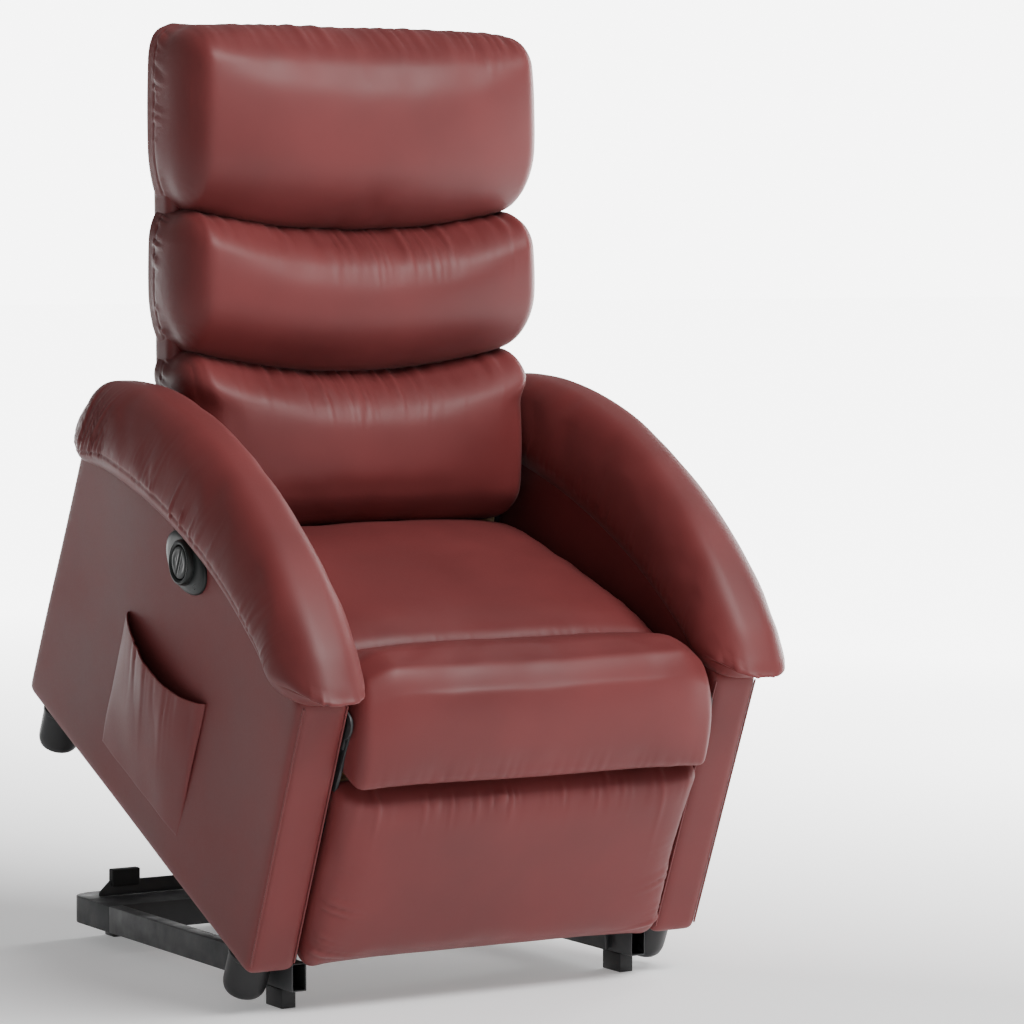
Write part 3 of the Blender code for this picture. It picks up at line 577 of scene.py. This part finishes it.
def arm_pad(label, side):
    """Crowned pad that overhangs its panel, gathered along its outer edge and round its nose."""
    low, high = (PAD_X[0], -0.034, 0.0), (PAD_X[1], 0.742, 1.0)
    thick = 0.100

    def shape(p):
        q = p.copy()
        t = p[:, 2] / thick
        y = p[:, 1]
        bottom = panel_top(np.clip(y, 0.004, 0.744)) + 0.0006
        bottom += 0.030 * step_up(-y, -0.050, 0.030)
        top = pad_top(np.clip(y, -0.03, 0.75))
        q[:, 2] = bottom + t * (top - bottom)
        across = np.abs(2 * (p[:, 0] - PAD_X[0]) / (PAD_X[1] - PAD_X[0]) - 1) ** 3
        q[:, 1] += across * (0.046 * step_up(-y, -0.120, 0.020) - 0.040 * step_up(y, 0.600, 0.720))
        return q

    def work(p):
        x, y, z = p.T
        seed = 30 if side > 0 else 60
        outer = step_up(x, PAD_X[1] - 0.050, PAD_X[1] - 0.012)
        inner = step_up(-x, -PAD_X[0] - 0.040, -PAD_X[0] - 0.010)
        busy = 0.35 + 0.65 * np.clip(ripple(y, seed + 5, 1.5, 4.5) + 0.35, 0, 1)
        body = step_up(y, 0.015, 0.07)
        folds = 0.0027 * gathers(y, z - 0.012, 0.0120, 0.052, seed, 0.25) * outer * busy * body
        folds += 0.0013 * gathers(y, z - 0.012, 0.0165, 0.028, seed + 9) * inner * body * 0.6
        nose = step_up(-y, -0.012, 0.020)
        folds += 0.0030 * gathers(x, z - 0.026, 0.0105, 0.034, seed + 2) * nose
        tail = step_up(y, 0.58, 0.66)
        folds += 0.0025 * gathers(y, z - 0.030, 0.0095, 0.090, seed + 3, 0.35) * tail * outer
        calm = 0.0007 * swell(y, x, seed + 4, 2.0, 6.0)
        seam = -0.0022 * bump(z, 0.012, 0.0022) * (outer * body + nose)
        return folds + calm + seam

    obj = soft_block(f"arm_pad_{label}_cover", LEATHER, (low[0], low[1], 0), (high[0], high[1], thick),
                     (0.044, 0.060, 0.046), (0.050, 0.050, 0.074), shape, work, 0.0060,
                     held=lambda p: p[:, 2] < 0.016, pressure=2.5, most=0.006)
    write_points(obj, mirrored(read_points(obj), side))
    flip_if(obj, side)
    place(obj, CHAIR)
    return fit_piece(obj, "carriage", f"arm_pad_{label}")


def seat_cushion():
    top = circle_through((0.136, 0.408), (0.330, 0.402), (0.575, 0.350))
    low_z, high_z = 0.284, 0.404

    def shape(p):
        q = p.copy()
        t = (p[:, 2] - low_z) / (high_z - low_z)
        across = p[:, 0] / SEAT_HALF
        crown = 0.007 - 0.016 * np.abs(across) ** 3
        q[:, 2] = low_z + t * (top(p[:, 1]) + crown * step_up(t, 0.3, 1) - low_z)
        q[:, 2] -= t * 0.003 * step_up(-p[:, 1], -0.165, -0.138)
        return q

    def work(p):
        x, y, z = p.T
        upper = step_up(z, 0.36, 0.40)
        folds = 0.0005 * gathers(x, y - 0.142, 0.016, 0.030, 91) * upper
        sides = 0.0012 * gathers(y, SEAT_HALF - np.abs(x) - 0.004, 0.017, 0.032, 92) * upper
        return folds + sides + 0.0016 * swell(x, y, 93, 1.5, 5.0) * upper

    obj = soft_block("seat_cushion_cover", LEATHER, (-0.2745, 0.1366, low_z), (0.2745, 0.575, high_z),
                     (0.034, 0.020, 0.010), (0.034, 0.030, 0.024), shape, work,
                     held=lambda p: (p[:, 2] < 0.300) | (p[:, 1] < 0.150))
    place(obj, CHAIR)
    return fit_piece(obj, "carriage", "seat_cushion")


def seat_front_roll():
    """Deep roll at the front of the seat, high in the middle and falling away to its ends."""
    low_z, high_z = 0.2895, 0.4440

    def shape(p):
        q = p.copy()
        t = (p[:, 2] - low_z) / (high_z - low_z)
        across = np.abs(p[:, 0]) / SEAT_HALF
        q[:, 2] += t * (0.003 - 0.008 * across**4 - 0.022 * step_up(across, 0.80, 1.04))
        q[:, 2] -= t * 0.034 * step_up(p[:, 1], 0.040, 0.150)
        q[:, 1] -= 0.004 * (1 - across**2) * (1 - t)
        q[:, 1] += 0.038 * step_up(-p[:, 1], -0.120, 0.028) * t**2
        return q

    def work(p):
        x, y, z = p.T
        folds = 0.0005 * gathers(x, 0.128 - y, 0.017, 0.026, 101) * step_up(z, 0.36, 0.40)
        under = 0.0010 * gathers(x, z - 0.296, 0.018, 0.030, 102) * step_up(-y, 0.0, 0.03)
        return folds + under + 0.0018 * swell(x, y + z, 103, 1.2, 4.0)

    obj = soft_block("seat_front_roll_cover", LEATHER, (-SEAT_HALF - 0.0008, -0.0290, low_z),
                     (SEAT_HALF + 0.0008, 0.1358, high_z), (0.014, 0.024, 0.014), (0.014, 0.008, 0.080),
                     shape, work, held=lambda p: (p[:, 1] > 0.126) | (p[:, 2] < 0.292))
    place(obj, CHAIR)
    return fit_piece(obj, "carriage", "seat_front_roll")


def footrest_pad():
    """Hanging pad, gathered along its top edge and down its sides, with rounded lower corners."""
    low_z, high_z = 0.004, 0.2815

    def shape(p):
        q = p.copy()
        front = step_up(-p[:, 1], -0.020, 0.010)
        rise = np.clip((p[:, 2] - low_z) / (high_z - low_z), 0, 1)
        q[:, 1] -= 0.006 * front * np.sin(math.pi * rise) * (1 - (p[:, 0] / PAD_HALF) ** 2)
        return q

    def work(p):
        x, y, z = p.T
        front = step_up(-y, -0.022, 0.0)
        where = 0.25 + 0.75 * bump(x, -0.03, 0.14)
        folds = 0.0036 * gathers(x, high_z - 0.012 - z, 0.0145, 0.034, 121, 0.10) * where * front
        creases = sum(0.0020 * bump(x, at, 0.0035) * np.exp(-((high_z - z) / reach) ** 2)
                      for at, reach in ((0.214, 0.075), (-0.226, 0.050), (0.128, 0.035)))
        edge = PAD_HALF - np.abs(x) - 0.010
        sides = 0.0040 * gathers(z + 0.25 * edge, edge, 0.0190, 0.050, 122) * step_up(-z, -0.20, -0.08) * front
        return folds + (creases + sides) + 0.0012 * swell(x, z, 123, 1.5, 5.0) * front

    obj = soft_block("footrest_pad_cover", LEATHER, (-PAD_HALF, -0.0160, low_z),
                     (PAD_HALF, 0.0321, high_z), (0.022, 0.026, 0.040), (0.022, 0.010, 0.020), shape, work,
                     held=lambda p: p[:, 1] > 0.020)
    place(obj, CHAIR)
    return fit_piece(obj, "footrest", "footrest_pad")


def rear_panel():
    def work(p):
        x, _, z = p.T
        return 0.0010 * swell(x, z, 131, 1.0, 4.0) + 0.0009 * gathers(x, 0.335 - z, 0.020, 0.030, 132)

    obj = soft_block("rear_panel_cover", LEATHER, (-0.2767, 0.7000, 0.010), (0.2767, 0.7222, 0.340),
                     (0.006, 0.004, 0.006), (0.006, 0.009, 0.008), lambda p: p, work, 0.011)
    place(obj, CHAIR)
    return fit_piece(obj, "carriage", "rear_panel")


def storage_pocket():
    """Sheet pocket on the right-hand panel. Its top edge slouches and stands off the panel."""
    y0, y1, z0, z1 = 0.246, 0.496, 0.064, 0.270
    face = PANEL_X[1] + 0.0014
    across, up = 72, 60
    u, v = np.meshgrid(np.linspace(0, 1, across + 1), np.linspace(0, 1, up + 1), indexing="ij")
    droop = 0.020 * np.sin(math.pi * np.clip(u, 0, 1) ** 0.80) ** 1.15
    y = y0 + (y1 - y0) * (u + 0.012 * np.sin(math.pi * v) * (u - 0.5))
    z = z0 + (z1 - droop - z0) * v
    belly = np.sin(math.pi * u) ** 0.55
    stand = 0.0010 + 0.0205 * belly * (v**1.5) + 0.0060 * belly * np.sin(math.pi * v) ** 0.8
    folds = 0.0026 * gathers(u * 0.25, (1 - v) * 0.2, 0.021, 0.110, 141, 0.10).reshape(u.shape) * belly
    stand = stand + folds * (0.35 + 0.65 * v) + 0.0008 * swell(u * 0.25, v * 0.2, 142, 6, 14)
    sheet = np.stack([-(face + stand), y, z], -1)
    mesh = bpy.data.meshes.new("storage_pocket_sheet")
    faces = []
    width = up + 1
    for i in range(across):
        for j in range(up):
            a = i * width + j
            faces.append((a, a + 1, a + width + 1, a + width))
    mesh.from_pydata(sheet.reshape(-1, 3).tolist(), [], faces)
    obj = add_object("storage_pocket_sheet", mesh, LEATHER)
    thickness = obj.modifiers.new("Thickness", "SOLIDIFY")
    thickness.thickness = 0.0020
    thickness.offset = 0.0
    rim = obj.modifiers.new("Rim", "BEVEL")
    rim.width = 0.0006
    rim.segments = 2
    rim.limit_method = "ANGLE"
    apply_modifiers(obj)
    place(obj, CHAIR)
    fit_piece(obj, "carriage", "storage_pocket")
    return obj


# ---- pieces of the backrest ---------------------------------------------------------------------
def smile(x, half):
    """How far a pillow's edge hangs in the middle."""
    return 0.034 * (1 - np.minimum(np.abs(x) / half, 1) ** 2)


def back_pillow(node, low_z, high_z, front, half, sag_low, sag_high, busy, seed, radius_low_z, radius_high_z):
    """A stacked pillow in the back frame: crowned in front, gathered at its top edge and side seams."""
    rear = 0.0140
    height = high_z - low_z
    seam_y = rear - 0.038

    def shape(p):
        q = p.copy()
        x, y, z = p.T
        t = (z - low_z) / height
        ahead = np.clip((rear - y) / (rear - front), 0, 1)
        q[:, 2] -= smile(x, half) * (sag_low * (1 - t) + sag_high * t)
        q[:, 2] += (t - 0.5) * 0.018 * step_up(-ahead, -0.45, 0.0)
        rise = np.sin(math.pi * np.clip(t, 0, 1))
        q[:, 1] += 0.014 * ahead - 0.026 * ahead * np.sqrt(rise) * (1 - 0.6 * (np.abs(x) / half) ** 3)
        width = half
        if node == "lower_pillow":
            width = 0.2575 + 0.0125 * step_up(z, 0.165, 0.215)
        q[:, 0] = x * width / half + np.sign(x) * 0.004 * rise * step_up(np.abs(x), half - 0.06, half)
        return q

    def work(p):
        x, y, z = p.T
        ahead = step_up(-y, -seam_y, 0.075)
        where = 0.30 + 0.70 * bump(x, busy[0], busy[1])
        top = high_z - 0.006 - z
        folds = 0.0026 * gathers(x, top, 0.0125, busy[2], seed, 0.12) * where * ahead
        folds += 0.0009 * ripple(x, seed + 7, 20, 55) * step_up(z, high_z - 0.040, high_z - 0.004)
        side = step_up(np.abs(x), half - 0.030, half - 0.004)
        away = seam_y - y
        folds += 0.0030 * gathers(z, away, 0.0150, 0.032, seed + 1, 0.2) * side
        seam = -0.0016 * bump(y, seam_y, 0.0024) * side
        lower_corners = side * step_up(-z, -low_z - 0.06, -low_z)
        folds += 0.0020 * gathers(x + z, z - low_z, 0.014, 0.040, seed + 2) * lower_corners
        return folds + seam + 0.0010 * swell(x, z, seed + 3, 1.5, 5.0) * ahead

    obj = soft_block(f"{node}_cover", LEATHER, (-half, front, low_z), (half, rear, high_z),
                     (0.030, 0.080, radius_low_z), (0.030, 0.014, radius_high_z), shape, work,
                     held=lambda p: p[:, 1] > seam_y)
    place(obj, BACK)
    return fit_piece(obj, "backrest", node)


def back_cover():
    """Flat upholstered rear of the backrest, with a welt round it."""
    def work(p):
        x, _, z = p.T
        edge = np.minimum(0.264 - np.abs(x), np.minimum(z - 0.016, 0.668 - z))
        return 0.0012 * swell(x, z, 151, 1.0, 4.0) - 0.0012 * bump(edge, 0.020, 0.0022)

    obj = soft_block("back_cover_leather", LEATHER, (-0.2640, -0.0400, 0.016), (0.2640, 0.0165, 0.668),
                     (0.012, 0.010, 0.010), (0.012, 0.012, 0.016), lambda p: p, work, 0.010)
    place(obj, BACK)
    return fit_piece(obj, "backrest", "back_cover")


def back_flap():
    """Leather flap between the backrest and the rear panel."""
    across, along = 60, 20
    top = BACK @ Vector((0, 0.0150, 0.052))
    bottom = CHAIR @ Vector((0, 0.7235, 0.322))
    points, faces = [], []
    for i in range(across + 1):
        for j in range(along + 1):
            t = j / along
            x = -0.250 + 0.500 * i / across
            middle = top.lerp(bottom, t)
            bulge = 0.010 * math.sin(math.pi * t)
            fold = 0.0012 * math.sin(x * 190 + 2.0 * math.sin(x * 23)) * math.sin(math.pi * t)
            points.append((x, middle.y + bulge + fold, middle.z + bulge * 0.8))
    width = along + 1
    for i in range(across):
        for j in range(along):
            a = i * width + j
            faces.append((a, a + width, a + width + 1, a + 1))
    mesh = bpy.data.meshes.new("back_flap")
    mesh.from_pydata(points, [], faces)
    obj = add_object("back_flap", mesh, LEATHER)
    thickness = obj.modifiers.new("Thickness", "SOLIDIFY")
    thickness.thickness = 0.0020
    apply_modifiers(obj)
    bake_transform(obj)
    return obj


# ---- hard pieces --------------------------------------------------------------------------------
def turned(name, finish, profile, centre, axis, segments=64):
    """A profile of (radius, height) points turned about an axis through a point."""
    bm = bmesh.new()
    turn = Vector((0, 0, 1)).rotation_difference(Vector(axis)).to_matrix().to_4x4()
    where = Matrix.Translation(centre) @ turn
    rings = []
    for radius, height in profile:
        ring = []
        for i in range(segments):
            angle = math.tau * i / segments
            spot = Vector((radius * math.cos(angle), radius * math.sin(angle), height))
            ring.append(bm.verts.new(where @ spot))
        rings.append(ring)
    for upper, lower in zip(rings, rings[1:]):
        for i in range(segments):
            j = (i + 1) % segments
            bm.faces.new((upper[i], upper[j], lower[j], lower[i]))
    bm.faces.new(rings[0])
    bm.faces.new(rings[-1])
    bmesh.ops.recalc_face_normals(bm, faces=bm.faces)
    mesh = bpy.data.meshes.new(name)
    bm.to_mesh(mesh)
    bm.free()
    obj = add_object(name, mesh, finish)
    mesh.set_sharp_from_angle(angle=math.radians(32))
    return obj


def foot(place_name, label, side, y):
    """Moulded foot with a rounded bottom edge and a slim collar."""
    profile = [(0.029, -0.0006), (0.0302, -0.0020), (0.0302, -0.0060), (0.0294, -0.0068), (0.0294, -0.0440)]
    for i in range(1, 8):
        angle = math.radians(90 * i / 7)
        profile.append((0.0294 - 0.0100 * (1 - math.cos(angle)), -0.0440 - 0.0190 * math.sin(angle)))
    profile.append((0.0060, -0.0636))
    x = side * (PANEL_X[1] + 0.2775) / 2
    obj = turned(f"foot_{place_name}_{label}_moulding", PLASTIC, profile, (x, y, 0), (0, 0, 1))
    place(obj, CHAIR)
    return fit_piece(obj, "carriage", f"foot_{place_name}_{label}")


def edged(node, body, finish, width=0.0012, segments=2):
    """A CAD node's own shape with its sharp edges broken, standing for the node."""
    source = nodes[node]
    mesh = source.data.copy()
    mesh.materials.clear()
    obj = bpy.data.objects.new(f"{node}_edged", mesh)
    bpy.context.scene.collection.objects.link(obj)
    mesh.materials.append(finish)
    weld = obj.modifiers.new("Weld", "WELD")
    weld.merge_threshold = 0.00002
    flat = obj.modifiers.new("Flat", "DECIMATE")
    flat.decimate_type = "DISSOLVE"
    flat.angle_limit = math.radians(0.5)
    bevel = obj.modifiers.new("Edge", "BEVEL")
    bevel.width = width
    bevel.segments = segments
    bevel.limit_method = "ANGLE"
    bevel.angle_limit = math.radians(40)
    bevel.harden_normals = False
    apply_modifiers(obj)
    obj.data.shade_smooth()
    obj.data.set_sharp_from_angle(angle=math.radians(30))
    return fit_piece(obj, body, node)


def switch():
    """Oval plate with a domed rim, a raised collar and two half-round buttons."""
    centre_y, centre_z = 0.370, 0.415
    face = -(PANEL_X[1] + 0.0016)
    half_y, half_z = 0.060, 0.0375
    rings = []
    bm = bmesh.new()
    segments = 96
    levels = [(1.0, 0.0), (1.0, 0.0022), (0.975, 0.0042), (0.93, 0.0052), (0.80, 0.0062)]
    for scale, rise in levels:
        rings.append([bm.verts.new((face - rise, centre_y + half_y * scale * math.cos(math.tau * i / segments),
                                    centre_z + half_z * scale * math.sin(math.tau * i / segments)))
                      for i in range(segments)])
    collar = [(0.0310, 0.0066), (0.0306, 0.0110), (0.0290, 0.0138), (0.0268, 0.0146), (0.0246, 0.0138),
              (0.0232, 0.0118), (0.0228, 0.0035)]
    for radius, rise in collar:
        rings.append([bm.verts.new((face - rise, centre_y + radius * math.cos(math.tau * i / segments),
                                    centre_z + radius * math.sin(math.tau * i / segments)))
                      for i in range(segments)])
    for upper, lower in zip(rings, rings[1:]):
        for i in range(segments):
            j = (i + 1) % segments
            bm.faces.new((upper[i], upper[j], lower[j], lower[i]))
    bm.faces.new(rings[-1])
    bm.faces.new(rings[0])
    bmesh.ops.recalc_face_normals(bm, faces=bm.faces)
    mesh = bpy.data.meshes.new("switch_bezel_moulding")
    bm.to_mesh(mesh)
    bm.free()
    obj = add_object("switch_bezel_moulding", mesh, SWITCH_PLASTIC)
    mesh.set_sharp_from_angle(angle=math.radians(38))
    place(obj, CHAIR)
    fit_piece(obj, "carriage", "switch_bezel")
    for name, facing in (("button_up", 1), ("button_down", -1)):
        button(name, facing, (centre_y, centre_z), face)


def button(name, facing, centre, face):
    """Half-round cap, domed a little, with a shallow dish near its middle."""
    radius, gap = 0.0219, 0.0007
    bm = bmesh.new()
    segments, rows = 40, 10
    rings = []
    for r in range(rows + 1):
        scale = 1 - r / rows * 0.985
        edge = math.acos(gap / radius)
        loop = []
        for i in range(segments + 1):
            angle = -edge + 2 * edge * i / segments
            loop.append((radius * math.cos(angle), radius * math.sin(angle)))
        for i in range(1, 12):
            loop.append((gap, radius * math.sin(edge) * (1 - 2 * i / 12)))
        centre_u = 0.0090
        rise = 0.0128 + 0.0012 * (1 - scale**4) - 0.0008 * math.exp(-((1 - scale - 0.75) / 0.3) ** 2)
        rings.append([bm.verts.new((face - rise, centre[0] + facing * (centre_u + (u - centre_u) * scale),
                                    centre[1] + w * scale)) for u, w in loop])
    base = [bm.verts.new((face - 0.0061, v.co.y, v.co.z)) for v in rings[0]]
    rings.insert(0, base)
    count = len(base)
    for upper, lower in zip(rings, rings[1:]):
        for i in range(count):
            j = (i + 1) % count
            bm.faces.new((upper[i], upper[j], lower[j], lower[i]))
    bm.faces.new(rings[0])
    bm.faces.new(rings[-1])
    bmesh.ops.recalc_face_normals(bm, faces=bm.faces)
    mesh = bpy.data.meshes.new(f"{name}_cap")
    bm.to_mesh(mesh)
    bm.free()
    obj = add_object(f"{name}_cap", mesh, SWITCH_PLASTIC)
    bevel = obj.modifiers.new("Edge", "BEVEL")
    bevel.width = 0.0006
    bevel.segments = 2
    bevel.limit_method = "ANGLE"
    bevel.angle_limit = math.radians(50)
    apply_modifiers(obj)
    obj.data.shade_smooth()
    obj.data.set_sharp_from_angle(angle=math.radians(40))
    place(obj, CHAIR)
    return fit_piece(obj, name, name)


# ---- stage --------------------------------------------------------------------------------------
def camera():
    azimuth, elevation = math.radians(-31.27), math.radians(3.70)
    target = Vector((0, ORIGIN_Y - 0.088, 0.655))
    away = Vector((math.sin(azimuth) * math.cos(elevation), -math.cos(azimuth) * math.cos(elevation),
                   math.sin(elevation)))
    data = bpy.data.cameras.new("camera")
    data.lens = 144.52
    data.sensor_width = 36
    obj = bpy.data.objects.new("camera", data)
    bpy.context.scene.collection.objects.link(obj)
    obj.location = target + away * 5.407
    obj.rotation_euler = (-away).to_track_quat("-Z", "Y").to_euler()
    bpy.context.scene.camera = obj


def soft_light(name, location, target, size, power, colour=(1, 1, 1)):
    data = bpy.data.lights.new(name, "AREA")
    data.shape = "RECTANGLE"
    data.size, data.size_y = size
    data.energy = power
    data.color = colour
    obj = bpy.data.objects.new(name, data)
    bpy.context.scene.collection.objects.link(obj)
    obj.location = location
    obj.rotation_euler = (Vector(target) - Vector(location)).to_track_quat("-Z", "Y").to_euler()


def towards_far_right(tree, vector):
    """How far a place or a direction lies towards the backdrop, which stands behind the chair on its left."""
    dot = tree.nodes.new("ShaderNodeVectorMath")
    dot.operation = "DOT_PRODUCT"
    tree.links.new(vector, dot.inputs[0])
    dot.inputs[1].default_value = TO_BACKDROP
    return dot.outputs["Value"]


def stage():
    mesh = bpy.data.meshes.new("floor")
    corners = ((-1, -1), (1, -1), (1, 1), (-1, 1))
    mesh.from_pydata([(FLOOR_SIZE * x, FLOOR_SIZE * y, -FLOOR_DROP) for x, y in corners], [], [(0, 1, 2, 3)])
    mat, tree, shader = shader_material("glowing pale floor", (0.90, 0.90, 0.90), 0.85)
    # Painted light: the floor glows, faintly near the chair and far brighter towards the backdrop, so that it
    # fades into the bright band of the world.
    shader.inputs["Emission Color"].default_value = (1, 1, 1, 1)
    tree.links.new(spread(tree, towards_far_right(tree, object_coordinates(tree)), 0.26, 6.4, 0.2, 4.4),
                   shader.inputs["Emission Strength"])
    floor = add_object("floor", mesh, mat, smooth=False)
    world = bpy.data.worlds.new("studio")
    world.use_nodes = True
    tree = world.node_tree
    direction = tree.nodes.new("ShaderNodeTexCoord").outputs["Generated"]
    split = tree.nodes.new("ShaderNodeSeparateXYZ")
    tree.links.new(direction, split.inputs["Vector"])
    low = spread(tree, maths(tree, "ABSOLUTE", split.outputs["Z"], 0.0), 1.0, 0.0, 0.075, 0.14)
    side = spread(tree, towards_far_right(tree, direction), 0.0, 1.0, 0.40, 0.78)
    backdrop = maths(tree, "MULTIPLY", low, side)
    tree.nodes["Background"].inputs["Color"].default_value = (1, 1, 1, 1)
    tree.links.new(spread(tree, backdrop, AMBIENT_STRENGTH, BACKDROP_STRENGTH),
                   tree.nodes["Background"].inputs["Strength"])
    bpy.context.scene.world = world
    soft_light("key", (0.9, -3.0, 3.9), (0, -0.1, 0.7), (2.6, 1.8), 260)
    soft_light("rim", (3.0, 0.9, 1.5), (0, 0, 0.8), (1.0, 2.4), 70)
    soft_light("fill", (-2.6, -3.4, 1.3), (0, -0.1, 0.6), (2.4, 2.4), 16)


# ---- everything ---------------------------------------------------------------------------------
camera()
stage()

for label, side in SIDES:
    side_panel(label, side)
    arm_pad(label, side)
    panel_piping(label, side, PANEL_X[0] + 0.0042, 1)
    panel_piping(label, side, PANEL_X[1] - 0.0042, 2)
seat_cushion()
seat_front_roll()
footrest_pad()
rear_panel()
storage_pocket()
back_pillow("head_pillow", 0.4450, 0.6880, -0.1480, BACK_HALF, 1.0, 0.0,
            (0.15, 0.10, 0.030), 201, 0.085, 0.046)
back_pillow("middle_pillow", 0.2510, 0.4440, -0.1480, BACK_HALF, 1.0, 1.0,
            (0.06, 0.13, 0.055), 211, 0.078, 0.052)
back_pillow("lower_pillow", 0.0000, 0.2500, -0.1420, BACK_HALF, 0.0, 1.0,
            (-0.01, 0.10, 0.060), 221, 0.050, 0.060)
back_cover()
back_flap()
for label, side in SIDES:
    foot("front", label, side, 0.060)
    foot("rear", label, side, 0.690)
switch()

bodies = frame["record"]["behaviour"]["bodies"]
body_of_node = {name: body for body, members in bodies.items() for name in members}
slot_of_node = {row["node"]: row["material_slot"] for row in frame["record"]["subparts"]}
replaced = {name for name in nodes if nodes[name].hide_render}
for name, obj in nodes.items():
    if name in replaced:
        continue
    slot = slot_of_node[name]
    if slot in ("black_steel", "black_plastic", "zinc_steel") and not name.startswith("seat_spring"):
        edged(name, body_of_node[name], SLOT_FINISH[slot])
    else:
        for index in range(max(1, len(obj.material_slots))):
            if not obj.material_slots:
                obj.data.materials.append(SLOT_FINISH[slot])
            obj.material_slots[index].material = SLOT_FINISH[slot]
